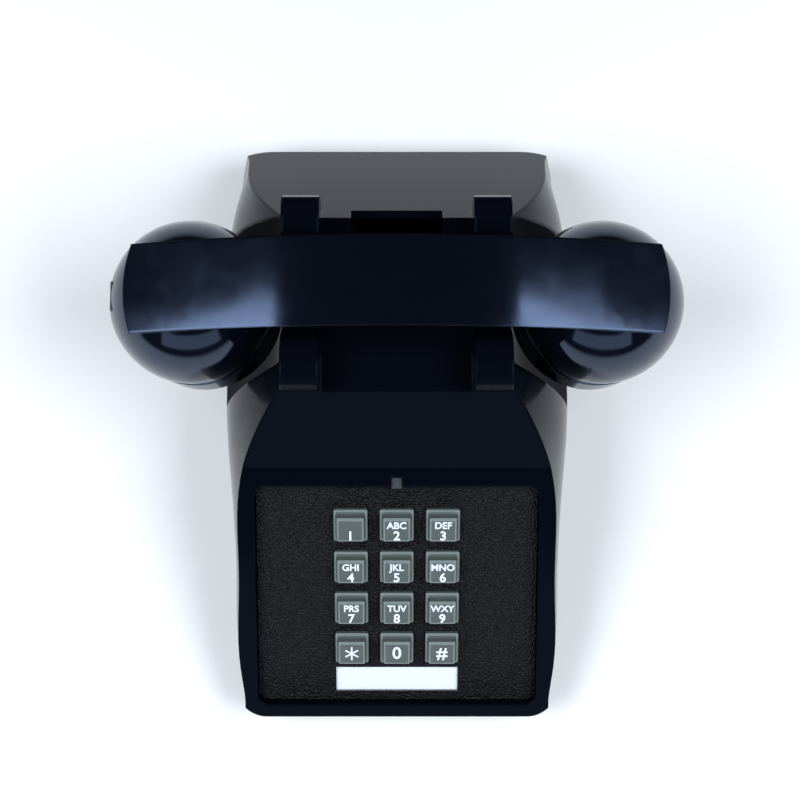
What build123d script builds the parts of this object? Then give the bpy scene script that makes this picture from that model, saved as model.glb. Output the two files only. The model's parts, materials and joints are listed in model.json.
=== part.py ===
"""Desk telephone with a push-button pad, a lift-off handset and a bell ringer.

Frame: +X right, +Y towards the back, +Z up, origin on the table under the middle of the box.
Millimetres throughout. Each function returns the solids of one node; main() writes them.
"""
from build123d import *
import os
from math import asin, cos, degrees, radians, sin, sqrt, tan

GAP = 0.3                   # air between neighbouring parts
SLIT = 0.05                 # air in a running or screwed fit, on the radius

# ---- housing ------------------------------------------------------------------------------
HALF_DEPTH = 121.8          # front or back edge from the middle
REAR_CORNER_R = 20.0
FRONT_CORNER_R = 12.0
SKIRT_Z = 5.0               # lower edge of the housing above the table
BACK_FOOT_Z = 19.5          # the sloping back starts here, above the line jack
SADDLE_Z = 93.0             # flat top
SADDLE_FRONT_Y = 4.0
SADDLE_REAR_Y = 71.5
BREAK_Y = -23.0             # front slope meets the rim of the deck
LIP_Y = -117.5              # front lip of the deck
LIP_DROP = 2.6
WALL = 2.5
FLANK_Z = (0, 50, 96)
FLANKS = [                  # evenly spaced y, then half widths at the three heights above
    (-124, (65.4, 62.4, 56.0)),
    (-93, (66.6, 62.6, 51.5)),
    (-62, (67.8, 63.6, 50.2)),
    (-31, (69.6, 66.0, 52.5)),
    (0, (73.5, 66.6, 44.0)),
    (31, (73.5, 66.5, 42.4)),
    (62, (73.5, 66.5, 42.4)),
    (93, (73.3, 63.4, 42.4)),
    (124, (72.6, 60.0, 42.4)),
]
SCOOP = [(76.0, 13.0), (70.5, 21.0), (61.0, 34.0), (52.0, 47.0), (45.6, 61.0), (43.4, 78.0), (43.2, 96.0)]
SCOOP_PLAN = [(41.0, 16.0), (95.0, 1.0), (95.0, 85.0), (41.0, 71.5)]
SCOOP_CORNER_R = 8.0

# ---- deck and keys: local y up the slope from the first row, local z out of the deck --------
DECK_TILT = 28.35
KEY_PITCH = 18.4
KEY_ROW_Y = -45.0
KEY_ROW_Z = 58.8            # top of the first row's skirts
KEY_NAMES = [["1", "2", "3"], ["4", "5", "6"], ["7", "8", "9"], ["star", "0", "pound"]]
KEY_SKIRT = 13.5
KEY_TOP = 10.9
KEY_TOP_RISE = 3.2
KEY_FLANGE = 15.6
KEY_STEM = 6.0
PANEL_Z = -2.0
PANEL_THICK = 2.5
RIM_Z = 1.6
PANEL_TOP = 17.0
PANEL_BOTTOM = -80.2
PANEL_TOP_HALF = 55.7
PANEL_BOTTOM_HALF = 57.2
PANEL_CORNER_R = 4.0
CARD_TOP = -65.0
CARD_BOTTOM = -76.0
CARD_HALF = 25.1
TAB_HALF = 2.1
TAB_TOP = 21.0
TAB_BOTTOM = 15.9
FRAME_Z = (-12.0, -9.0)     # keypad's guide plate
FRAME_HALF = 31.0
FRAME_TOP = 12.0
FRAME_BOTTOM = -68.0
BOARD_Z = (-19.6, -18.0)

# ---- cradle ---------------------------------------------------------------------------------
HORN_X = 36.5
HORN_WIDTH = 14.4
HORN_TIP_Z = 107.0
SEAT_Z = 94.6               # where the handle lies
PLUNGER_X = 35.3
PLUNGER_R = 3.8
PLUNGER_FLANGE_R = 4.8
PLUNGER_TOP_Z = 95.2
PLUNGER_FOOT_Z = 68.0

# ---- handset --------------------------------------------------------------------------------
HANDSET_Y = 40.6
HANDLE_TOP_Z = 122.25
HANDLE_END_Z = 106.85
HANDLE_END_X = 99.3
HANDLE_BULGE = 3.4
HANDLE_TOP_HALF = 17.1
HANDLE_FOOT_HALF = 10.2
HANDLE_DEPTH = 24.0
HANDLE_WALL = 3.0
CUP_X = 79.85
CUP_Z = 82.05
CUP_R = 31.77
CUP_WALL = 2.5
CUP_TILT = 10.0             # cap faces lean in towards each other
CAP_R = 31.3
CAP_START = 9.0             # along the cap's axis from the cup's centre
CAP_END = 25.0
CAP_WALL = 2.4
NECK_R = 28.9
NECK_END = 16.0
JACK_Z = 88.0

# ---- inside ---------------------------------------------------------------------------------
PLATE_Z = (5.2, 6.8)
FOOT_R = 8.5
BOSSES = [(59.5, -98.0, 27.5), (57.0, 92.0, 54.0)]   # x, y and top of the screw bosses
SCREW_R = 1.65
GONG_X = 35.0
GONG_Y = (12.0, 72.0)
GONG_R = 24.0
GONG_Z = (13.0, 28.0)
GONG_WALL = 1.6
CLAPPER_PIVOT = (0.0, 42.0)
CLAPPER_Z = 22.0
BALL_R = 4.0
COIL_X = -21.0
COIL_R = 12.0
COIL_Z = 24.0
HOOK_PIVOT = (67.0, 62.0)   # y, z
WHEEL_CENTRE = (-52.0, 70.0, 15.4)
WHEEL_R = 11.5
JACK_W = 7.8
JACK_H = 6.8
JACK_DEEP = 11.0
JACK_LENGTH = 15.0
JACK_HALF = JACK_W / 2 + 2.3
JACK_SILL = 2.2             # below the mouth
JACK_TOP_Z = PLATE_Z[1] + JACK_H + 5.0
CORD_JACK = (-66.6, -58.0)  # mouths of the two jacks on the plate
LINE_JACK = (-42.0, 121.3)

ARC_DROP = HANDLE_TOP_Z - HANDLE_END_Z
ARC_R = (HANDLE_END_X ** 2 + ARC_DROP ** 2) / (2 * ARC_DROP)
ARC_Z = HANDLE_TOP_Z - ARC_R
TILT = radians(DECK_TILT)

deck = Plane(origin=(0, KEY_ROW_Y, KEY_ROW_Z), x_dir=(1, 0, 0), z_dir=(0, -sin(TILT), cos(TILT)))


# ---- helpers ----------------------------------------------------------------------------------
def block(x, y, z):
    """A box from three (low, high) pairs."""
    return Pos(sum(x) / 2, sum(y) / 2, sum(z) / 2) * Box(x[1] - x[0], y[1] - y[0], z[1] - z[0])


def rod_x(x, y, z, radius):
    return Pos(sum(x) / 2, y, z) * Rot(0, 90, 0) * Cylinder(radius, x[1] - x[0])


def rod_y(x, y, z, radius):
    return Pos(x, sum(y) / 2, z) * Rot(90, 0, 0) * Cylinder(radius, y[1] - y[0])


def rod_z(x, y, z, radius):
    return Pos(x, y, sum(z) / 2) * Cylinder(radius, z[1] - z[0])


def tube_z(x, y, z, outer, inner):
    return rod_z(x, y, z, outer) - rod_z(x, y, z, inner)


def profile_x(points, x):
    """Points (y, z) of a side view, extruded over the pair x."""
    face = make_face(Polyline(*[(x[0], y, z) for y, z in points], close=True))
    return extrude(face, amount=x[1] - x[0], dir=(1, 0, 0))


def profile_z(points, z):
    """Points (x, y) of a plan, extruded over the pair z."""
    face = make_face(Polyline(*[(x, y, z[0]) for x, y in points], close=True))
    return extrude(face, amount=z[1] - z[0], dir=(0, 0, 1))


def turned(points):
    """A solid of revolution about Z from (radius, z) points."""
    return revolve(make_face(Polyline(*[(r, 0, z) for r, z in points], close=True)), axis=Axis.Z)


def wire(points, radii, radius):
    """A round wire along straight runs joined by arcs."""
    path = FilletPolyline(*points, radius=radii)
    start = Plane(origin=path @ 0, z_dir=path % 0)
    return sweep(start * Circle(radius), path=path)


def both_sides(shape):
    return [shape, mirror(shape, about=Plane.YZ)]


def on_deck(x, y, z):
    """A box in the deck's own directions."""
    return deck.location * block(x, y, z)


# ---- housing ------------------------------------------------------------------------------------
def deck_line(y, inset):
    """Height of the deck's rim at y, less a wall."""
    return KEY_ROW_Z + RIM_Z / cos(TILT) + (y - KEY_ROW_Y) * tan(TILT) - inset / cos(TILT)


def side_view(inset, bottom):
    """Back, saddle, front slope, deck and front lip."""
    return [
        (HALF_DEPTH - inset, bottom),
        (HALF_DEPTH - inset, BACK_FOOT_Z - 0.6 * inset),
        (SADDLE_REAR_Y - 0.6 * inset, SADDLE_Z - inset),
        (SADDLE_FRONT_Y + 0.35 * inset, SADDLE_Z - inset),
        (BREAK_Y + 0.1 * inset, deck_line(BREAK_Y, inset)),
        (LIP_Y, deck_line(LIP_Y, inset)),
        (-HALF_DEPTH + inset, deck_line(LIP_Y, inset) - LIP_DROP),
        (-HALF_DEPTH + inset, bottom),
    ]


def flank_section(y, half_widths, inset):
    """Front view at y: each side an arc through the half widths at three heights."""
    low, middle, top = [(x - inset, y, z) for x, z in zip(half_widths, FLANK_Z)]
    right = ThreePointArc(low, middle, top)
    left = mirror(right, about=Plane.YZ)
    return make_face([right, Line(right @ 1, left @ 1), left, Line(left @ 0, right @ 0)])


def rounded_plan(inset):
    """An upright block whose corners round off those of the housing."""
    front, rear = FLANKS[0][1][0] - inset, FLANKS[4][1][0] + 0.5 - inset
    depth = HALF_DEPTH - inset
    plan = profile_z([(-front, -depth), (front, -depth), (rear, 0), (rear, depth), (-rear, depth), (-rear, 0)],
                       (-1, SADDLE_Z + 1))
    corners = plan.edges().filter_by(Axis.Z).sort_by(Axis.Y)
    plan = fillet(corners[-2:], REAR_CORNER_R - inset)
    corners = plan.edges().filter_by(Axis.Z).sort_by(Axis.Y)
    return fillet(corners[:2], FRONT_CORNER_R - inset)


def scoop(inset):
    """The hollow beside the saddle that clears a cup, less a wall."""
    (x0, z0), (x1, z1) = SCOOP[0], SCOOP[-1]
    curve = Spline(*[(x - inset, 0, z) for x, z in SCOOP])
    side = make_face([
        curve,
        Line((x1 - inset, 0, z1), (99, 0, z1)),
        Line((99, 0, z1), (99, 0, z0)),
        Line((99, 0, z0), (x0 - inset, 0, z0)),
    ])
    trough = extrude(side, amount=100, dir=(0, 1, 0))
    (ax, ay), (bx, by), (cx, cy), (dx, dy) = SCOOP_PLAN
    plan = [(ax - inset, ay - inset), (bx, by - inset), (cx, cy + inset), (dx - inset, dy + inset)]
    ends = profile_z(plan, (0, 110))
    corners = ends.edges().filter_by(Axis.Z).sort_by(Axis.X)[:2]
    return trough & fillet(corners, SCOOP_CORNER_R + inset)


def body_solid(inset, bottom):
    """The outer shape of the housing, or the space inside it."""
    flanks = loft([flank_section(*flank, inset) for flank in FLANKS])
    solid = flanks & profile_x(side_view(inset, bottom), (-90, 90)) & rounded_plan(inset)
    return solid - both_sides(scoop(inset))


def panel_prism(grow, z):
    """The faceplate's outline in the deck, grown all round, over the local pair z."""
    top, bottom = PANEL_TOP + grow, PANEL_BOTTOM - grow
    corners = [
        (-PANEL_BOTTOM_HALF - grow, bottom),
        (PANEL_BOTTOM_HALF + grow, bottom),
        (PANEL_TOP_HALF + grow, top),
        (-PANEL_TOP_HALF - grow, top),
    ]
    prism = profile_z(corners, z)
    prism = fillet(prism.edges().filter_by(Axis.Z), PANEL_CORNER_R + grow)
    return deck.location * prism


def cradle_horns(side):
    """The two horns and the seat between them, on one side."""
    near, tip, seat = SADDLE_Z - 6, HORN_TIP_Z, SEAT_Z
    half = [(36.2, near), (37.0, SADDLE_Z), (37.6, 101.0), (36.0, tip - 2.5), (33.0, tip - 0.5), (28.0, tip),
            (22.0, tip - 1.0), (18.0, tip - 3.5), (15.0, 99.0), (13.0, seat)]
    points = [(HANDSET_Y + y, z) for y, z in half] + [(HANDSET_Y - y, z) for y, z in reversed(half)]
    middle = side * HORN_X
    return profile_x(points, (middle - HORN_WIDTH / 2, middle + HORN_WIDTH / 2))


def screw_boss(x, y, top):
    return rod_z(x, y, (PLATE_Z[1], top), 4.6) - rod_z(x, y, (0, top - 6), SCREW_R + SLIT)


def jack_holes():
    """Windows for the two jacks on the plate, one in the left flank and one in the back."""
    (_, side_y), (back_x, back_y) = CORD_JACK, LINE_JACK
    z = (PLATE_Z[1] - 0.1, JACK_TOP_Z)
    side = block((-90, -60), (side_y - JACK_HALF, side_y + JACK_HALF), z)
    return [side, block((back_x - JACK_HALF, back_x + JACK_HALF), (back_y - 10, back_y + 10), z)]


def housing():
    shell = body_solid(0, SKIRT_Z) - body_solid(WALL, 0)
    shell -= panel_prism(GAP, (-30, 20))
    ledge = panel_prism(GAP + 2.0, (-7.0, 0.5)) - panel_prism(GAP, (PANEL_Z - PANEL_THICK, 5))
    shell += ledge - panel_prism(-3.0, (-10, 0))
    shell += [cradle_horns(1), cradle_horns(-1)]
    shell -= both_sides(rod_z(PLUNGER_X, HANDSET_Y, (80, 110), PLUNGER_R + GAP))
    for x, y, top in BOSSES:
        shell += both_sides(screw_boss(x, y, top))
    shell -= panel_prism(GAP, (PANEL_Z - PANEL_THICK, 20))
    finger_gap = block((-17.8, 17.8), (52.0, 90.0), (86.0, 100.0))
    tab_notch = on_deck((-TAB_HALF - GAP, TAB_HALF + GAP), (PANEL_TOP - 1, TAB_TOP + GAP), (PANEL_Z, 9))
    return shell - finger_gap - tab_notch - jack_holes()


def base_plate():
    plan = [(-60.0, -118.8), (60.0, -118.8), (68.0, -5.0), (68.0, 118.8), (-68.0, 118.8), (-68.0, -5.0)]
    plate = profile_z(plan, PLATE_Z)
    corners = plate.edges().filter_by(Axis.Z).sort_by(Axis.Y)
    plate = fillet(corners[:2] + corners[-2:], 18.0)
    for x, y, _ in BOSSES:
        plate -= both_sides(rod_z(x, y, (0, 10), SCREW_R + SLIT))
    x, y, _ = WHEEL_CENTRE
    return plate - block((x - 3.2, x + 3.2), (y - WHEEL_R, y + WHEEL_R), (0, 10))


def housing_screws():
    screws = []
    for x, y, top in BOSSES:
        screw = rod_z(x, y, (3.0, PLATE_Z[0]), 3.6) + rod_z(x, y, (PLATE_Z[0], top - 8), SCREW_R)
        slot = block((x - 4, x + 4), (y - 0.5, y + 0.5), (2.5, 3.9))
        screws += both_sides(screw - slot)
    return screws


def rubber_feet():
    feet = []
    for x, y in ((47, -98), (44, 100)):
        foot = turned([(0, 0), (FOOT_R - 1.2, 0), (FOOT_R, 1.2), (FOOT_R, PLATE_Z[0]), (0, PLATE_Z[0])])
        feet += both_sides(Pos(x, y, 0) * foot)
    return feet


# ---- deck and keypad ------------------------------------------------------------------------------
def key_centre(row, column):
    return (column - 1) * KEY_PITCH, -row * KEY_PITCH


def faceplate():
    plate = panel_prism(0, (PANEL_Z - PANEL_THICK, PANEL_Z))
    half = KEY_SKIRT / 2 + GAP
    for row in range(4):
        for column in range(3):
            x, y = key_centre(row, column)
            plate -= on_deck((x - half, x + half), (y - half, y + half), (-9, 9))
    return plate - on_deck((-CARD_HALF, CARD_HALF), (CARD_BOTTOM, CARD_TOP), (PANEL_Z - 1.2, 9))


def number_card():
    return on_deck((-CARD_HALF, CARD_HALF), (CARD_BOTTOM, CARD_TOP), (PANEL_Z - 1.2, PANEL_Z - 0.8))


def card_window():
    return on_deck((-CARD_HALF, CARD_HALF), (CARD_BOTTOM, CARD_TOP), (PANEL_Z - 0.8, PANEL_Z + 0.2))


def faceplate_clip():
    return on_deck((-TAB_HALF, TAB_HALF), (TAB_BOTTOM, TAB_TOP), (PANEL_Z, PANEL_Z + 1.6))


def key(row, column):
    """Skirt, bevelled top, flange that stops it under the faceplate, and stem."""
    x, y = key_centre(row, column)
    skirt = Pos(x, y, -2.4) * Box(KEY_SKIRT, KEY_SKIRT, 4.8)
    skirt = chamfer(skirt.edges().group_by(Axis.Z)[-1], 0.7)
    top = Pos(x, y + 0.4, KEY_TOP_RISE / 2) * Box(KEY_TOP, KEY_TOP, KEY_TOP_RISE)
    top = chamfer(top.edges().group_by(Axis.Z)[-1], 1.0)
    flange = Pos(x, y, -5.55) * Box(KEY_FLANGE, KEY_FLANGE, 1.5)
    stem = Pos(x, y, -9.85) * Box(KEY_STEM, KEY_STEM, 7.1)
    return deck.location * (skirt + top + flange + stem)


def keypad_frame():
    """Guide plate with a hole for each stem, on a skirt that carries the board."""
    (low, high), y = FRAME_Z, (FRAME_BOTTOM, FRAME_TOP)
    frame = block((-FRAME_HALF, FRAME_HALF), y, (BOARD_Z[1], high))
    frame -= block((-FRAME_HALF + 2, FRAME_HALF - 2), (y[0] + 2, y[1] - 2), (-30, low))
    half = KEY_STEM / 2 + GAP
    for row in range(4):
        for column in range(3):
            kx, ky = key_centre(row, column)
            frame -= block((kx - half, kx + half), (ky - half, ky + half), (-30, 9))
    return deck.location * frame


def keypad_board():
    return on_deck((-FRAME_HALF, FRAME_HALF), (FRAME_BOTTOM, FRAME_TOP), BOARD_Z)


def contact_domes():
    domes = []
    for row in range(4):
        for column in range(3):
            x, y = key_centre(row, column)
            domes.append(deck.location * rod_z(x, y, (BOARD_Z[1], BOARD_Z[1] + 1.8), 3.4))
    return domes


def keypad_brackets():
    """Side plates that stand the keypad frame on the base plate."""
    corners = [(FRAME_TOP - 4, FRAME_Z[1]), (FRAME_TOP - 4, BOARD_Z[0]), (FRAME_BOTTOM + 8, FRAME_Z[1])]
    top_rear, rear, front = [deck.from_local_coords((0, y, z)) for y, z in corners]
    x = (FRAME_HALF, FRAME_HALF + 1.5)
    web = profile_x([
        (front.Y, front.Z), (top_rear.Y, top_rear.Z), (rear.Y, rear.Z),
        (rear.Y, PLATE_Z[1]), (front.Y + 12, PLATE_Z[1]),
    ], x)
    foot = block((x[0], x[0] + 11), (rear.Y - 26, rear.Y), (PLATE_Z[1], PLATE_Z[1] + 1.5))
    return both_sides(web + foot)


# ---- bell ringer --------------------------------------------------------------------------------------
def gong(y):
    """A bell cup, open below, with a hole for its screw."""
    low, high = GONG_Z
    r, w = GONG_R, GONG_WALL
    cup = turned([
        (2.2, high), (r - 7, high), (r - 2.5, high - 2.5), (r, high - 8), (r, low),
        (r - w, low), (r - w, high - 8), (r - 2.5 - w, high - 2.5 - w / 2), (r - 7.5, high - w), (2.2, high - w),
    ])
    return Pos(GONG_X, y, 0) * cup


def gong_posts():
    posts = []
    for y in GONG_Y:
        post = turned([(0, PLATE_Z[1]), (7, PLATE_Z[1]), (7, 8.3), (3.5, 8.3), (3.5, GONG_Z[1] - GONG_WALL),
                       (SCREW_R, GONG_Z[1] - GONG_WALL), (SCREW_R, 16), (0, 16)])
        posts.append(Pos(GONG_X, y, 0) * post)
    return posts


def gong_screws():
    screws = []
    for y in GONG_Y:
        top = GONG_Z[1]
        screw = rod_z(GONG_X, y, (17, top), SCREW_R - SLIT) + rod_z(GONG_X, y, (top, top + 2.0), 4.2)
        screws.append(screw - block((GONG_X - 5, GONG_X + 5), (y - 0.6, y + 0.6), (top + 1.0, top + 3)))
    return screws


def ringer_frame():
    """Steel U that holds the coil, with two ears for the clapper's shaft."""
    (px, py), base = CLAPPER_PIVOT, PLATE_Z[1]
    frame = block((COIL_X - 15, px + 5), (py - 20, py + 20), (base, base + 2))
    for y in (py - 20, py + 18):
        frame += block((COIL_X - 13, COIL_X + 13), (y, y + 2), (base, COIL_Z + 14))
    frame += block((px - 5, px + 5), (py - 4, py + 4), (base, CLAPPER_Z - 5.5))
    ear = block((px - 5, px + 5), (py - 4, py + 4), (CLAPPER_Z + 5.5, CLAPPER_Z + 7.5))
    bridge = block((px - 5, px + 5), (py - 22, py - 20), (base, CLAPPER_Z + 7.5))
    arm = block((px - 5, px + 5), (py - 20, py - 4), (CLAPPER_Z + 5.5, CLAPPER_Z + 7.5))
    shaft_hole = rod_z(px, py, (CLAPPER_Z - 8, 60), 1.5)
    return frame + ear + bridge + arm - shaft_hole


def ringer_coil():
    (_, py) = CLAPPER_PIVOT
    core = rod_y(COIL_X, (py - 18, py + 18), COIL_Z, 4.0)
    winding = rod_y(COIL_X, (py - 15.5, py + 15.5), COIL_Z, COIL_R)
    flanges = [rod_y(COIL_X, (y, y + 1.5), COIL_Z, COIL_R + 1.5) for y in (py - 17, py + 15.5)]
    return core + winding + flanges


def ringer_magnet():
    (_, py), base = CLAPPER_PIVOT, PLATE_Z[1] + 2
    return block((COIL_X - 9, COIL_X + 9), (py - 14, py + 14), (base, COIL_Z - COIL_R - 1.5))


def clapper_shaft():
    px, py = CLAPPER_PIVOT
    return rod_z(px, py, (CLAPPER_Z - 8, CLAPPER_Z + 7.5), 1.5)


def clapper():
    """Hub, armature towards the coil, wire arm and ball between the gongs."""
    (px, py), z = CLAPPER_PIVOT, CLAPPER_Z
    body = rod_z(px, py, (z - 5, z + 5), 3.6)
    body += rod_x((px, GONG_X - 2), py, z, 0.9)
    body += Pos(GONG_X, py, z) * Sphere(BALL_R)
    body += block((px - 5.5, px), (py - 2, py + 2), (z - 4, z + 4))
    return body - rod_z(px, py, (z - 6, z + 6), 1.5 + SLIT)


def volume_bracket():
    x, y, z = WHEEL_CENTRE
    top = z + 4
    cheeks = []
    for cx in (x - 5.0, x + 3.5):
        cheek = block((cx, cx + 1.5), (y - 5, y + 5), (PLATE_Z[1], top))
        cheeks.append(cheek - rod_x((cx - 1, cx + 3), y, z, 1.6))
    tabs = [block((x - 12, x - 5), (y - 5, y + 5), (PLATE_Z[1], PLATE_Z[1] + 1.5)),
            block((x + 5, x + 10), (y - 5, y + 5), (PLATE_Z[1], PLATE_Z[1] + 1.5))]
    return [cheeks[0] + tabs[0], cheeks[1] + tabs[1]]


def volume_wheel():
    """Knurled thumb wheel on its own stub shaft."""
    x, y, z = WHEEL_CENTRE
    wheel = rod_x((x - 2.4, x + 2.4), y, z, WHEEL_R)
    for i in range(24):
        groove = Pos(x, y, z) * Rot(15 * i, 0, 0) * Pos(0, WHEEL_R + 0.3, 0) * Box(6, 1.6, 1.3)
        wheel -= groove
    return wheel + rod_x((x - 6.5, x + 6.5), y, z, 1.6 - SLIT)


# ---- line switch -------------------------------------------------------------------------------------
def plunger(side):
    """Button in the seat; its foot stands just over the switch lever."""
    points = [
        (0, PLUNGER_FOOT_Z), (2.0, PLUNGER_FOOT_Z), (2.0, 76), (PLUNGER_FLANGE_R, 76),
        (PLUNGER_FLANGE_R, 78), (PLUNGER_R, 78),
        (PLUNGER_R, PLUNGER_TOP_Z - 1), (PLUNGER_R - 1, PLUNGER_TOP_Z), (0, PLUNGER_TOP_Z),
    ]
    return Pos(side * PLUNGER_X, HANDSET_Y, 0) * turned(points)


def hook_lever():
    """Two arms under the plungers, joined by a crossbar, on one pivot pin."""
    py, pz = HOOK_PIVOT
    top = PLUNGER_FOOT_Z - GAP
    points = [(38.8, top), (58.0, top), (py, pz + 5), (py + 5, pz), (py, pz - 5), (54.0, 58.5), (38.8, 62.5)]
    arm = profile_x(points, (PLUNGER_X - 3, PLUNGER_X + 3))
    arm -= rod_x((PLUNGER_X - 5, PLUNGER_X + 5), py, pz, 2 + SLIT)
    left, right = both_sides(arm)
    return left + right + block((-PLUNGER_X, PLUNGER_X), (51, 55), (60, 64))


def hook_pin():
    py, pz = HOOK_PIVOT
    return rod_x((-PLUNGER_X - 4, PLUNGER_X + 4), py, pz, 2)


def hook_bracket():
    """Sheet steel stand for the pin and the contacts."""
    py, pz = HOOK_PIVOT
    stand = block((-30, 8), (py - 4, py + 4), (48, 50))
    for x, out in ((-30, -8), (6, 3)):
        stand += block((x, x + 2), (py - 4, py + 4), (PLATE_Z[1], pz + 5))
        stand += block((min(x, x + out), max(x + 2, x + out)), (py - 4, py + 4), (PLATE_Z[1], PLATE_Z[1] + 2))
    return stand - rod_x((-40, 40), py, pz, 2)


def contact_block():
    return block((-20, -6), (62, 70), (50, 57))


def contact_springs():
    """Bronze leaves that reach forward from the block under the crossbar."""
    leaves = []
    for x in (-18.5, -13.0, -10.0):
        leaves.append(block((x, x + 2.2), (42, 62), (55.4, 55.8)))
        leaves.append(block((x, x + 2.2), (44, 62), (52.4, 52.8)))
    return leaves


# ---- network and wiring ----------------------------------------------------------------------------------
NETWORK_TOP = 27.0
TERMINAL_TOP = 30.0
TERMINALS = [(-40, 0), (-48, 8), (-30, -12), (-20, -10), (-52, -10), (-40, -12), (-30, 8), (-20, 8)]


def network_block():
    body = block((-58, -14), (-18, 14), (PLATE_Z[1], NETWORK_TOP))
    return chamfer(body.edges().group_by(Axis.Z)[-1], 1.2)


def network_terminals():
    return [rod_z(x, y, (NETWORK_TOP, TERMINAL_TOP), 3.0) for x, y in TERMINALS]


def jack_body():
    """A modular jack standing on the plate; its mouth is over the origin and opens to the left."""
    body = block((0, JACK_LENGTH), (-JACK_HALF, JACK_HALF), (PLATE_Z[1], JACK_TOP_Z))
    sill = PLATE_Z[1] + JACK_SILL
    body -= block((-1, JACK_DEEP), (-JACK_W / 2, JACK_W / 2), (sill, sill + JACK_H))
    return body - block((-1, JACK_DEEP - 5), (-2, 2), (sill + JACK_H - 1, sill + JACK_H + 1.4))


def cord_jack():
    x, y = CORD_JACK
    return Pos(x, y, 0) * jack_body()


def line_jack():
    x, y = LINE_JACK
    return Pos(x, y, 0) * Rot(0, 0, -90) * jack_body()


def wires_red():
    return wire([(-40, 0, TERMINAL_TOP), (-40, 0, 60), (-13, 30, 73), (-13, 63.2, 73), (-13, 63.2, 57)],
                [12, 12, 7], 0.8)


def wires_green():
    x, y = LINE_JACK[0], LINE_JACK[1] - 12.3
    return wire([(-48, 8, TERMINAL_TOP), (-48, 8, 44), (-46, 60, 44), (x, y, 27), (x, y, JACK_TOP_Z)],
                [6, 60, 5], 0.8)


def wires_black():
    y = CORD_JACK[1]
    return wire([(-30, -12, TERMINAL_TOP), (-30, -12, 42), (-60, -40, 36), (-60, y, 34), (-60, y, JACK_TOP_Z)],
                [6, 8, 6], 0.8)


def wires_yellow():
    low, end = [deck.from_local_coords((-20, 5, z)) for z in (-28, BOARD_Z[0])]
    return wire([(-20, -10, TERMINAL_TOP), (-20, -10, 38), (-20, low.Y, low.Z), (-20, end.Y, end.Z)],
                [4, 4], 0.8)


# ---- handset -----------------------------------------------------------------------------------------------
def cup_place():
    """Centre of the right cup; z runs out through its cap."""
    tilt = radians(CUP_TILT)
    return Plane(origin=(CUP_X, HANDSET_Y, CUP_Z), x_dir=(0, 1, 0), z_dir=(-sin(tilt), 0, -cos(tilt))).location


def both_cups(shape):
    """A solid in the right cup's directions, and its mirror image in the left cup."""
    return both_sides(cup_place() * shape)


def strap(inset, end_x):
    """The handle: a trapezoid turned about a far axis, with bulging ends."""
    top, foot = HANDLE_TOP_Z - inset, HANDLE_TOP_Z - HANDLE_DEPTH + inset
    top_half, foot_half = HANDLE_TOP_HALF - 1.2 * inset, HANDLE_FOOT_HALF - 0.8 * inset
    section = make_face(Polyline(
        (0, HANDSET_Y - top_half, top), (0, HANDSET_Y + top_half, top),
        (0, HANDSET_Y + foot_half, foot), (0, HANDSET_Y - foot_half, foot), close=True))
    spin = Axis((0, 0, ARC_Z), (0, 1, 0))
    swing = degrees(asin(HANDLE_END_X / ARC_R)) + 3
    solid = revolve(section, axis=spin, revolution_arc=2 * swing).rotate(spin, -swing)
    x, w = end_x, HANDLE_TOP_HALF + 1
    low, high = HANDSET_Y - w, HANDSET_Y + w
    plan = make_face([
        Line((-x, low, 0), (x, low, 0)),
        ThreePointArc((x, low, 0), (x + HANDLE_BULGE, HANDSET_Y, 0), (x, high, 0)),
        Line((x, high, 0), (-x, high, 0)),
        ThreePointArc((-x, high, 0), (-x - HANDLE_BULGE, HANDSET_Y, 0), (-x, low, 0)),
    ])
    return solid & extrude(plan, amount=130, dir=(0, 0, 1))


def bowl(radius, neck, low):
    """Sphere about the cup's centre that ends below in a straight neck."""
    shoulder = min(CAP_START, sqrt(radius ** 2 - neck ** 2))
    edge = (sqrt(radius ** 2 - shoulder ** 2), 0, shoulder)
    points = [edge, (neck, 0, shoulder), (neck, 0, low), (0, 0, low)]
    outline = [ThreePointArc((0, 0, -radius), (radius, 0, 0), edge)]
    if edge[0] - neck < 0.01:
        points = [edge] + points[2:]
    outline += [Line(p, q) for p, q in zip(points, points[1:] + [(0, 0, -radius)])]
    return revolve(make_face(outline), axis=Axis.Z)


def handset_solid(inset, end_x, neck, low):
    """Handle and bowls, or the space inside them."""
    solid = strap(inset * HANDLE_WALL / CUP_WALL, end_x) + both_cups(bowl(CUP_R - inset, neck, low))
    return solid & rod_y(0, (-20, 100), ARC_Z, ARC_R - inset)


def handset_window():
    half = JACK_W / 2 + 1.8
    return block((-120, -100), (HANDSET_Y - half, HANDSET_Y + half), (JACK_Z - 6, JACK_Z + 6))


def handset_shell():
    outer = handset_solid(0, HANDLE_END_X, NECK_R, NECK_END)
    inner = handset_solid(CUP_WALL, CUP_X, NECK_R - 2.1, NECK_END + 1)
    return outer - inner - handset_window()


def cap(holes):
    """Screw-on cap with its face pierced by `holes` rings of small holes."""
    body = turned([
        (0, CAP_END - 1.2), (12, CAP_END - 0.6), (CAP_R - 4, CAP_END), (CAP_R - 1.2, CAP_END - 1.6),
        (CAP_R, CAP_END - 4.5), (CAP_R, CAP_START), (29.2, CAP_START), (29.2, CAP_END - CAP_WALL - 1.2),
        (0, CAP_END - CAP_WALL - 1.2),
    ])
    for ring in range(holes):
        count = max(1, 6 * ring)
        for i in range(count):
            body -= Rot(0, 0, 360 / count * i) * rod_z(5.2 * ring, 0, (15, 30), 1.1)
    return body


def ear_cap():
    return cup_place() * cap(3)


def mouth_cap():
    return mirror(cup_place() * cap(4), about=Plane.YZ)


UNIT_FACE = CAP_END - CAP_WALL - 1.2


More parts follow.
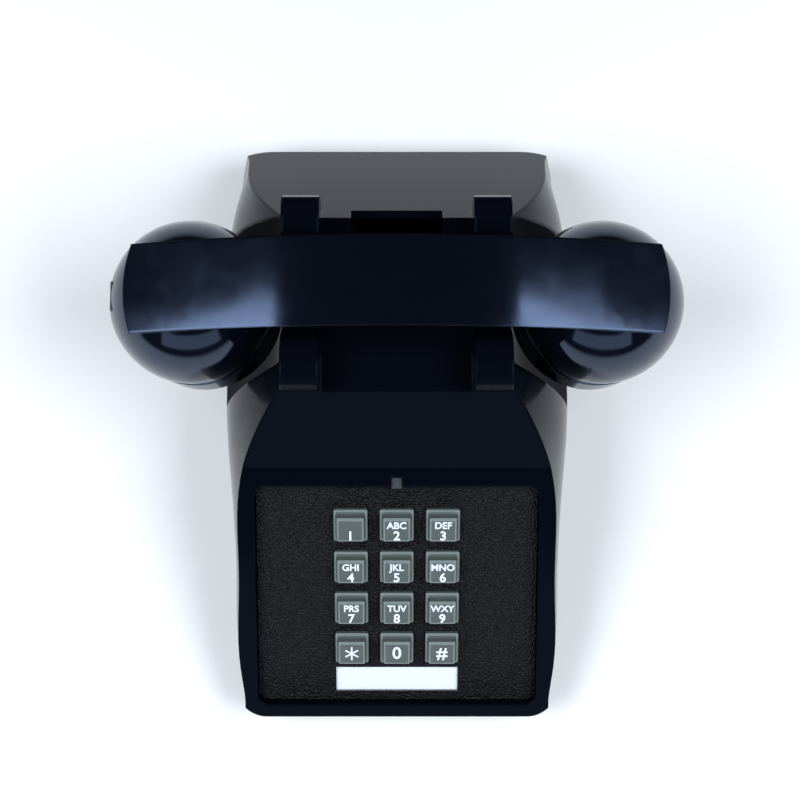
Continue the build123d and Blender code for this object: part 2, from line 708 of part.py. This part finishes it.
def receiver_unit():
    unit = turned([(0, 12), (18, 12), (18, 15), (26, 15), (26, UNIT_FACE), (0, UNIT_FACE)])
    post = block((CUP_X - 6, CUP_X + 2), (HANDSET_Y - 4, HANDSET_Y + 4), (64, 72))
    return cup_place() * unit + post


def transmitter_unit():
    return mirror(cup_place() * turned([(0, 16), (25, 16), (25, UNIT_FACE), (0, UNIT_FACE)]), about=Plane.YZ)


def transmitter_cup():
    """Plastic cup with the contacts that press on the transmitter."""
    cup = cup_place() * turned([(0, 11), (26.4, 11), (26.4, 16), (0, 16)])
    post = block((CUP_X - 6, CUP_X + 2), (HANDSET_Y - 4, HANDSET_Y + 4), (67, 72))
    return mirror(cup + post, about=Plane.YZ)


def handset_jack():
    half = JACK_W / 2 + 1.8
    body = block((-109.5, -95), (HANDSET_Y - half, HANDSET_Y + half), (JACK_Z - 6, JACK_Z + 6))
    y, z = (HANDSET_Y - JACK_W / 2, HANDSET_Y + JACK_W / 2), (JACK_Z - JACK_H / 2, JACK_Z + JACK_H / 2)
    body -= block((-111, -109.5 + JACK_DEEP), y, z)
    return body - block((-111, -104), (HANDSET_Y - 2, HANDSET_Y + 2), (JACK_Z, JACK_Z + JACK_H / 2 + 1.4))


def handset_leads():
    """Lead from one cup to the other through the hollow handle."""
    x, y = CUP_X - 2, HANDSET_Y
    points = [(-x, y, 72), (-x, y, 99), (-40, y, 107), (0, y, 110), (40, y, 107), (x, y, 99), (x, y, 72)]
    return wire(points, [12, 90, 120, 90, 12], 1.4)


# ---- files ---------------------------------------------------------------------------------------------------
NODES = {
    "housing": housing,
    "base_plate": base_plate,
    "housing_screws": housing_screws,
    "rubber_feet": rubber_feet,
    "faceplate": faceplate,
    "number_card": number_card,
    "card_window": card_window,
    "faceplate_clip": faceplate_clip,
    "keypad_frame": keypad_frame,
    "keypad_board": keypad_board,
    "contact_domes": contact_domes,
    "keypad_brackets": keypad_brackets,
    "gong_low": lambda: gong(GONG_Y[0]),
    "gong_high": lambda: gong(GONG_Y[1]),
    "gong_posts": gong_posts,
    "gong_screws": gong_screws,
    "ringer_frame": ringer_frame,
    "ringer_coil": ringer_coil,
    "ringer_magnet": ringer_magnet,
    "clapper_shaft": clapper_shaft,
    "clapper": clapper,
    "volume_bracket": volume_bracket,
    "volume_wheel": volume_wheel,
    "plunger_left": lambda: plunger(-1),
    "plunger_right": lambda: plunger(1),
    "hook_lever": hook_lever,
    "hook_pin": hook_pin,
    "hook_bracket": hook_bracket,
    "contact_block": contact_block,
    "contact_springs": contact_springs,
    "network_block": network_block,
    "network_terminals": network_terminals,
    "line_jack": line_jack,
    "cord_jack": cord_jack,
    "wires_red": wires_red,
    "wires_green": wires_green,
    "wires_black": wires_black,
    "wires_yellow": wires_yellow,
    "handset_shell": handset_shell,
    "ear_cap": ear_cap,
    "mouth_cap": mouth_cap,
    "receiver_unit": receiver_unit,
    "transmitter_unit": transmitter_unit,
    "transmitter_cup": transmitter_cup,
    "handset_jack": handset_jack,
    "handset_leads": handset_leads,
}
for row, names in enumerate(KEY_NAMES):
    for column, name in enumerate(names):
        NODES["key_" + name] = lambda row=row, column=column: key(row, column)


def main():
    os.makedirs("parts", exist_ok=True)
    for name, make in NODES.items():
        made = make()
        pieces = made if isinstance(made, list) else [made]
        solids = [solid for piece in pieces for solid in piece.solids()]
        shape = solids[0] if len(solids) == 1 else Compound(children=solids)
        export_step(shape, "parts/" + name + ".step")
        print(name, len(solids), round(shape.volume / 1000, 2), "cm3", shape.is_valid)


main()
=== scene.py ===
"""The looks of the desk telephone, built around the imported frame. Metres, row frame."""

import json
import math

import bpy
from mathutils import Matrix, Vector


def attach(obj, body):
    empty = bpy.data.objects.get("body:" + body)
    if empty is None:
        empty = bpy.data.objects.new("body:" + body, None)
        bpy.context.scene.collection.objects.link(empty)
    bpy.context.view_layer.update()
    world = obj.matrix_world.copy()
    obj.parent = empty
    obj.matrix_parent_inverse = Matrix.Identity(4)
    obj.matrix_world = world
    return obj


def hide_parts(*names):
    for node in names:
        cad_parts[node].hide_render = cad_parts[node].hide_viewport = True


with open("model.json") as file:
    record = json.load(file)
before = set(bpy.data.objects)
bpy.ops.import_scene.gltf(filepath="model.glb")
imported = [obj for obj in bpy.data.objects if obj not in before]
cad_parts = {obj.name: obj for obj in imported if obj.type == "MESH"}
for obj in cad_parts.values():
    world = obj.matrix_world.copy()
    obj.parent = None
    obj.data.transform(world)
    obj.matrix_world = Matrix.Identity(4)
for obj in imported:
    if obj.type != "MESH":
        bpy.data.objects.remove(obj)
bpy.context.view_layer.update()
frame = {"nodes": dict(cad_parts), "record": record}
NODES = frame["nodes"]
KEYS = {
    "1": ("", "1"), "2": ("ABC", "2"), "3": ("DEF", "3"),
    "4": ("GHI", "4"), "5": ("JKL", "5"), "6": ("MNO", "6"),
    "7": ("PRS", "7"), "8": ("TUV", "8"), "9": ("WXY", "9"),
    "star": ("", "*"), "0": ("", "0"), "pound": ("", "#"),
}
DECK_TILT = math.radians(28.35)
KEY_PITCH = 0.0184
FIRST_KEY = Vector((0, -0.045, 0.0588))     # top of the middle skirt in the first row

# lettering, in a key's own directions
LEGEND_Z = 0.00316          # above the top of the skirt
INK = 0.00002               # half the thickness of the print
LETTERS_Y, LETTERS_SIZE, LETTERS_BOLD = 0.0014, 0.0040, 0.00012
DIGIT_Y, DIGIT_SIZE = -0.0031, 0.0054
SIGN_Y, SIGN_SIZE = -0.0006, 0.0076         # 0, # and * stand alone on their keys
DIGIT_BOLD = 0.00014
STAR_HALF_LENGTH, STAR_HALF_WIDTH = 0.0030, 0.00034

# camera and stage
CAMERA_PLACE = (0.00129, -0.08115, 0.64584)
CAMERA_TILT = math.radians(8.403)
CAMERA_LENS, CAMERA_SENSOR = 66.37, 36.0
FLOOR_HALF = 3.0
TENT_X, TENT_Y, TENT_Z = 0.88, -0.2, 1.15
TENT_SIZE, TENT_POWER = (0.9, 0.95), 23
FRONT_PLACE, FRONT_AIM = (0, -0.95, 0.45), (0, 0, 0.05)
FRONT_SIZE, FRONT_POWER = (1.5, 0.4), 2.2
COOL = (0.8, 0.87, 1.0)


# ---- materials ------------------------------------------------------------------------------
def new_material(name):
    """A material with one Principled shader: the material, its node tree and the shader."""
    mat = bpy.data.materials.new(name)
    mat.use_nodes = True
    tree = mat.node_tree
    bsdf = tree.nodes["Principled BSDF"]
    return mat, tree, bsdf


def add(tree, kind, **values):
    """A node of the kind; each value goes to the input or else the setting of that name."""
    node = tree.nodes.new("ShaderNode" + kind)
    for key, value in values.items():
        if key in node.inputs:
            node.inputs[key].default_value = value
        else:
            setattr(node, key, value)
    return node


def place(tree, scale=(1, 1, 1)):
    """Object coordinates in metres, scaled."""
    coords = add(tree, "TexCoord")
    mapping = add(tree, "Mapping", Scale=scale)
    tree.links.new(coords.outputs["Object"], mapping.inputs["Vector"])
    return mapping.outputs["Vector"]


def noise(tree, vector, scale, detail=3.0, rough=0.5):
    """Noise from 0 to 1."""
    node = add(tree, "TexNoise", Scale=scale, Detail=detail, Roughness=rough)
    tree.links.new(vector, node.inputs["Vector"])
    return node.outputs["Fac"]


def ramp(tree, fac, low, high, at=(0.3, 0.7)):
    """A value or colour that runs from low to high as fac crosses the pair `at`."""
    node = add(tree, "MapRange", clamp=True)
    node.inputs["From Min"].default_value, node.inputs["From Max"].default_value = at
    node.inputs["To Min"].default_value, node.inputs["To Max"].default_value = low, high
    tree.links.new(fac, node.inputs["Value"])
    return node.outputs["Result"]


def bump(tree, bsdf, height, strength, distance, round_edges=0.0):
    """Relief in the shader's normal, over edges softened to the radius round_edges."""
    node = add(tree, "Bump", Strength=strength, Distance=distance)
    tree.links.new(height, node.inputs["Height"])
    if round_edges:
        edge = add(tree, "Bevel", samples=6, Radius=round_edges)
        tree.links.new(edge.outputs["Normal"], node.inputs["Normal"])
    tree.links.new(node.outputs["Normal"], bsdf.inputs["Normal"])


def plastic(name, colour, rough, spread=0.04, round_edges=0.0, gloss=0.5, grain=0.0, tint=(1, 1, 1)):
    """Moulded plastic: faint orange peel, handling marks in the gloss, softened edges."""
    mat, tree, bsdf = new_material(name)
    vector = place(tree)
    bsdf.inputs["Base Color"].default_value = (*colour, 1)
    bsdf.inputs["IOR"].default_value = 1.5
    bsdf.inputs["Specular IOR Level"].default_value = gloss
    bsdf.inputs["Specular Tint"].default_value = (*tint, 1)
    marks = noise(tree, vector, 45.0, 6.0, 0.6)
    tree.links.new(ramp(tree, marks, rough, rough + spread), bsdf.inputs["Roughness"])
    peel = noise(tree, vector, 2500.0 if grain else 160.0, 2.0)
    bump(tree, bsdf, peel, 0.25 if grain else 0.03, grain or 0.0002, round_edges)
    return mat


def leather_grain(name, colour):
    """Matte moulded panel with a pebbled leather grain a little under a millimetre across."""
    mat, tree, bsdf = new_material(name)
    vector = place(tree)
    warp = add(tree, "TexNoise", Scale=500.0, Detail=2.0)
    tree.links.new(vector, warp.inputs["Vector"])
    mixed = add(tree, "VectorMath", operation="MULTIPLY_ADD")
    mixed.inputs[1].default_value = (0.0011, 0.0011, 0.0011)
    tree.links.new(warp.outputs["Color"], mixed.inputs[0])
    tree.links.new(vector, mixed.inputs[2])
    cells = add(tree, "TexVoronoi", feature="SMOOTH_F1", Scale=1250.0, Smoothness=0.6)
    tree.links.new(mixed.outputs["Vector"], cells.inputs["Vector"])
    height = add(tree, "Math", operation="SUBTRACT")
    height.inputs[0].default_value = 1.0
    tree.links.new(cells.outputs["Distance"], height.inputs[1])
    bsdf.inputs["Base Color"].default_value = (*colour, 1)
    bsdf.inputs["Specular IOR Level"].default_value = 0.2
    tree.links.new(ramp(tree, height.outputs[0], 0.5, 0.3, (0.3, 0.9)), bsdf.inputs["Roughness"])
    bump(tree, bsdf, height.outputs[0], 1.0, 0.0008)
    return mat


def metal(name, colour, rough, brushed=True):
    """Bare metal, with streaks along X if it is brushed and blotches if it isn't."""
    mat, tree, bsdf = new_material(name)
    vector = place(tree, (30, 900, 900) if brushed else (90, 90, 90))
    bsdf.inputs["Metallic"].default_value = 1.0
    bsdf.inputs["Base Color"].default_value = (*colour, 1)
    streak = noise(tree, vector, 1.0, 4.0)
    tree.links.new(ramp(tree, streak, rough, rough + 0.15), bsdf.inputs["Roughness"])
    bump(tree, bsdf, streak, 0.08, 0.0001)
    return mat


def paper(name):
    """White card with a faint fibre."""
    mat, tree, bsdf = new_material(name)
    fibre = noise(tree, place(tree), 1800.0, 5.0)
    bsdf.inputs["Base Color"].default_value = (0.82, 0.83, 0.86, 1)
    bsdf.inputs["Roughness"].default_value = 0.8
    bump(tree, bsdf, fibre, 0.1, 0.00005)
    return mat


def clear_plastic(name):
    """A thin clear strip: mostly see-through, with a little gloss of its own."""
    mat, tree, bsdf = new_material(name)
    bsdf.inputs["Base Color"].default_value = (0.9, 0.92, 0.95, 1)
    bsdf.inputs["Alpha"].default_value = 0.12
    marks = noise(tree, place(tree), 80.0, 5.0)
    tree.links.new(ramp(tree, marks, 0.05, 0.14), bsdf.inputs["Roughness"])
    return mat


def wound_wire(name):
    """Varnished copper winding: fine turns along Y."""
    mat, tree, bsdf = new_material(name)
    vector = place(tree)
    wave = add(tree, "TexWave", bands_direction="Y", Scale=320.0, Distortion=0.4)
    tree.links.new(vector, wave.inputs["Vector"])
    bsdf.inputs["Base Color"].default_value = (0.42, 0.15, 0.06, 1)
    bsdf.inputs["Metallic"].default_value = 0.6
    bsdf.inputs["Roughness"].default_value = 0.3
    bump(tree, bsdf, wave.outputs["Fac"], 0.6, 0.0002)
    return mat


def make_materials():
    """One material for each slot, and one each for the handset, the painted highlight on the key
    edges and the print.
    """
    black, navy = (0.0018, 0.0024, 0.0046), (0.5, 0.66, 1.0)
    return {
        "shell_black": plastic("gloss_abs", black, 0.1, 0.06, 0.0016, gloss=0.06, tint=navy),
        "handset_black": plastic("handled_abs", black, 0.07, 0.06, 0.0012, gloss=0.75, tint=navy),
        "panel_black": leather_grain("leather_grain", (0.0025, 0.0025, 0.003)),
        "key_grey": plastic("key_grey", (0.085, 0.100, 0.088), 0.3, 0.1, 0.0005),
        # paler grey painted on the key edges: a painted highlight where the edges catch the light
        "key_edge_painted_highlight": plastic("key_edge_painted_highlight", (0.20, 0.235, 0.21), 0.28, 0.1),
        "legend": plastic("legend_white", (0.8, 0.84, 0.9), 0.45),
        "card": paper("card_paper"),
        "clear": clear_plastic("clear_window"),
        "steel": metal("brushed_steel", (0.55, 0.56, 0.57), 0.28),
        "brass": metal("gong_brass", (0.72, 0.53, 0.25), 0.2, False),
        "bronze": metal("spring_bronze", (0.62, 0.42, 0.22), 0.25),
        "copper_wire": wound_wire("coil_winding"),
        "rubber": plastic("foot_rubber", (0.012, 0.012, 0.012), 0.75, 0.1, grain=0.0002),
        "board": plastic("phenolic_board", (0.2, 0.09, 0.03), 0.4),
        "plastic_grey": plastic("grey_moulding", (0.045, 0.05, 0.055), 0.35, 0.1, 0.0004),
        "plastic_white": plastic("white_nylon", (0.7, 0.69, 0.64), 0.4, 0.1, 0.0004),
        "wire_red": plastic("red_pvc", (0.5, 0.02, 0.015), 0.4),
        "wire_green": plastic("green_pvc", (0.02, 0.25, 0.06), 0.4),
        "wire_black": plastic("black_pvc", (0.01, 0.01, 0.01), 0.4),
        "wire_yellow": plastic("yellow_pvc", (0.6, 0.45, 0.02), 0.4),
    }


MATERIALS = make_materials()


def paint(obj, name):
    """Gives an object one material."""
    obj.data.materials.clear()
    obj.data.materials.append(MATERIALS[name])


def paint_frame():
    """Gives each CAD node the finish of its slot, and the handset's mouldings their own gloss."""
    for part in frame["record"]["subparts"]:
        paint(NODES[part["node"]], part["material_slot"])
    for node in ("handset_shell", "ear_cap", "mouth_cap"):
        paint(NODES[node], "handset_black")


# ---- mesh helpers ---------------------------------------------------------------------------
def mesh_object(name, vertices, faces, smooth=True):
    """A linked object from lists of vertices and faces."""
    mesh = bpy.data.meshes.new(name)
    mesh.from_pydata(vertices, [], faces)
    mesh.update()
    for polygon in mesh.polygons:
        polygon.use_smooth = smooth
    obj = bpy.data.objects.new(name, mesh)
    bpy.context.scene.collection.objects.link(obj)
    return obj


def rounded_square(half_x, half_y, radius, steps=5):
    """Corner-rounded rectangle, counter-clockwise."""
    points = []
    for quarter in range(4):
        cx = (half_x - radius) * (1 if quarter in (0, 3) else -1)
        cy = (half_y - radius) * (1 if quarter in (0, 1) else -1)
        for i in range(steps + 1):
            angle = math.pi / 2 * (quarter + i / steps)
            points.append((cx + radius * math.cos(angle), cy + radius * math.sin(angle)))
    return points


# ---- keys -------------------------------------------------------------------------------------
def deck_matrix(column, row):
    """From a key's own directions (x right, y up the slope, z out) to the row frame."""
    turn = Matrix.Rotation(DECK_TILT, 4, "X")
    shift = turn @ Vector(((column - 1) * KEY_PITCH, -row * KEY_PITCH, 0))
    return Matrix.Translation(FIRST_KEY + shift) @ turn


KEY_RINGS = [  # half width, half height, y shift, z, corner radius, whether the band below is an edge painted paler as a highlight
    (0.00675, 0.00675, 0.0, -0.0060, 0.0008, False),
    (0.00675, 0.00675, 0.0, -0.0006, 0.0008, False),
    (0.00625, 0.00625, 0.0, 0.0000, 0.0007, True),
    (0.00590, 0.00590, 0.0, 0.0000, 0.0006, True),
    (0.00560, 0.00570, 0.0, -0.0002, 0.0005, False),
    (0.00550, 0.00535, -0.0003, 0.0004, 0.0005, False),
    (0.00545, 0.00500, -0.0005, 0.0026, 0.0006, False),
    (0.00510, 0.00455, -0.0007, 0.0032, 0.0005, True),
    (0.00470, 0.00415, -0.0007, 0.0031, 0.0005, True),
    (0.00300, 0.00270, -0.0007, 0.0029, 0.0004, False),
]


def key_cap(name, matrix):
    """Skirt, step and slightly dished top, with paler bands along the edges painted on as highlight.
    """
    vertices, faces, slots = [], [], []
    count = len(rounded_square(1, 1, 0.1))
    for half_x, half_y, shift, z, radius, _ in KEY_RINGS:
        for x, y in rounded_square(half_x, half_y, radius):
            vertices.append(matrix @ Vector((x, y + shift, z)))
    for ring in range(1, len(KEY_RINGS)):
        for i in range(count):
            a, b = (ring - 1) * count, ring * count
            j = (i + 1) % count
            faces.append((a + i, a + j, b + j, b + i))
            # edge bands take the paler colour: painted highlight on the chamfers and rims
            slots.append(1 if KEY_RINGS[ring][5] else 0)
    last = (len(KEY_RINGS) - 1) * count
    faces.append(tuple(range(last, last + count)))
    faces.append(tuple(reversed(range(count))))
    slots += [0, 0]
    cap = mesh_object("cap_" + name, vertices, faces, smooth=False)
    cap.data.materials.append(MATERIALS["key_grey"])
    cap.data.materials.append(MATERIALS["key_edge_painted_highlight"])
    for polygon, slot in zip(cap.data.polygons, slots):
        polygon.material_index = slot
    return cap


def text_object(name, body, size, matrix, bold=0.0):
    """Flat white lettering, a hair above the key."""
    curve = bpy.data.curves.new(name, "FONT")
    curve.body = body
    curve.size = size
    curve.align_x, curve.align_y = "CENTER", "CENTER"
    curve.offset = bold
    curve.extrude = INK
    curve.resolution_u = 4
    obj = bpy.data.objects.new(name, curve)
    bpy.context.scene.collection.objects.link(obj)
    bpy.context.view_layer.update()
    mesh = bpy.data.meshes.new_from_object(obj)
    bpy.data.objects.remove(obj)
    text = bpy.data.objects.new(name, mesh)
    bpy.context.scene.collection.objects.link(text)
    text.data.transform(matrix)
    text.data.materials.append(MATERIALS["legend"])
    return text


def star_sign(name, matrix):
    """Six-armed star of three crossed bars."""
    vertices, faces = [], []
    for arm in range(3):
        turn = Matrix.Rotation(math.radians(90 + 60 * arm), 4, "Z")
        start = len(vertices)
        for x, y in ((-1, -1), (1, -1), (1, 1), (-1, 1)):
            corner = Vector((x * STAR_HALF_LENGTH, y * STAR_HALF_WIDTH, INK / 2 * arm))
            vertices.append(matrix @ turn @ corner)
        faces.append(tuple(range(start, start + 4)))
    star = mesh_object(name, vertices, faces, smooth=False)
    star.data.materials.append(MATERIALS["legend"])
    return star


def key_legend(name, matrix):
    """Letters above the digit; the bottom row's signs stand alone in the middle."""
    letters, sign = KEYS[name]
    if name == "star":
        return [star_sign("legend_star", matrix @ Matrix.Translation((0, SIGN_Y, LEGEND_Z)))]
    y, size = (SIGN_Y, SIGN_SIZE) if name in ("0", "pound") else (DIGIT_Y, DIGIT_SIZE)
    low = matrix @ Matrix.Translation((0, y, LEGEND_Z))
    pieces = [text_object("legend_" + name, sign, size, low, DIGIT_BOLD)]
    if letters:
        high = matrix @ Matrix.Translation((0, LETTERS_Y, LEGEND_Z))
        pieces.append(text_object("letters_" + name, letters, LETTERS_SIZE, high, LETTERS_BOLD))
    return pieces


def build_keys():
    """Detailed caps and their lettering in place of the plain CAD keys."""
    for index, name in enumerate(KEYS):
        row, column = divmod(index, 3)
        matrix = deck_matrix(column, row)
        cap = key_cap(name, matrix)
        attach(cap, "button_" + name)
        for piece in key_legend(name, matrix):
            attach(piece, "button_" + name)
        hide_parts("key_" + name)


# ---- stage ------------------------------------------------------------------------------------
def area_light(name, place_m, aim, size, power, colour):
    """A rectangular softbox at place_m that faces aim."""
    data = bpy.data.lights.new(name, "AREA")
    data.shape = "RECTANGLE"
    data.size, data.size_y = size
    data.energy = power
    data.color = colour
    light = bpy.data.objects.new(name, data)
    light.location = place_m
    light.rotation_euler = (Vector(aim) - Vector(place_m)).to_track_quat("-Z", "Y").to_euler()
    bpy.context.scene.collection.objects.link(light)


def build_stage():
    """Plain pale floor under two large overhead softboxes and a dim one in front."""
    half = FLOOR_HALF
    corners = [(-half, -half, 0), (half, -half, 0), (half, half, 0), (-half, half, 0)]
    floor = mesh_object("floor", corners, [(0, 1, 2, 3)])
    mat, _, bsdf = new_material("floor_pale")
    bsdf.inputs["Base Color"].default_value = (0.92, 0.89, 0.82, 1)
    bsdf.inputs["Roughness"].default_value = 0.9
    bsdf.inputs["Emission Color"].default_value = (0.8, 0.9, 1.0, 1)
    bsdf.inputs["Emission Strength"].default_value = 0.04
    floor.data.materials.append(mat)
    for side, name in ((-1, "left_tent"), (1, "right_tent")):
        x = side * TENT_X
        area_light(name, (x, TENT_Y, TENT_Z), (x, TENT_Y, 0), TENT_SIZE, TENT_POWER, COOL)
    area_light("front_tent", FRONT_PLACE, FRONT_AIM, FRONT_SIZE, FRONT_POWER, COOL)
    world = bpy.data.worlds.new("tent")
    world.use_nodes = True
    background = world.node_tree.nodes["Background"]
    background.inputs["Color"].default_value = (0.5, 0.62, 0.9, 1)
    background.inputs["Strength"].default_value = 0.05
    bpy.context.scene.world = world


def build_camera():
    """The camera nearly overhead, just in front of the phone's middle."""
    data = bpy.data.cameras.new("photo_camera")
    data.sensor_width = CAMERA_SENSOR
    data.lens = CAMERA_LENS
    data.clip_start = 0.01
    camera = bpy.data.objects.new("photo_camera", data)
    camera.location = CAMERA_PLACE
    camera.rotation_euler = (CAMERA_TILT, 0, 0)
    bpy.context.scene.collection.objects.link(camera)
    bpy.context.scene.camera = camera


paint_frame()
build_keys()
build_stage()
build_camera()
bpy.context.scene.view_settings.view_transform = "Standard"
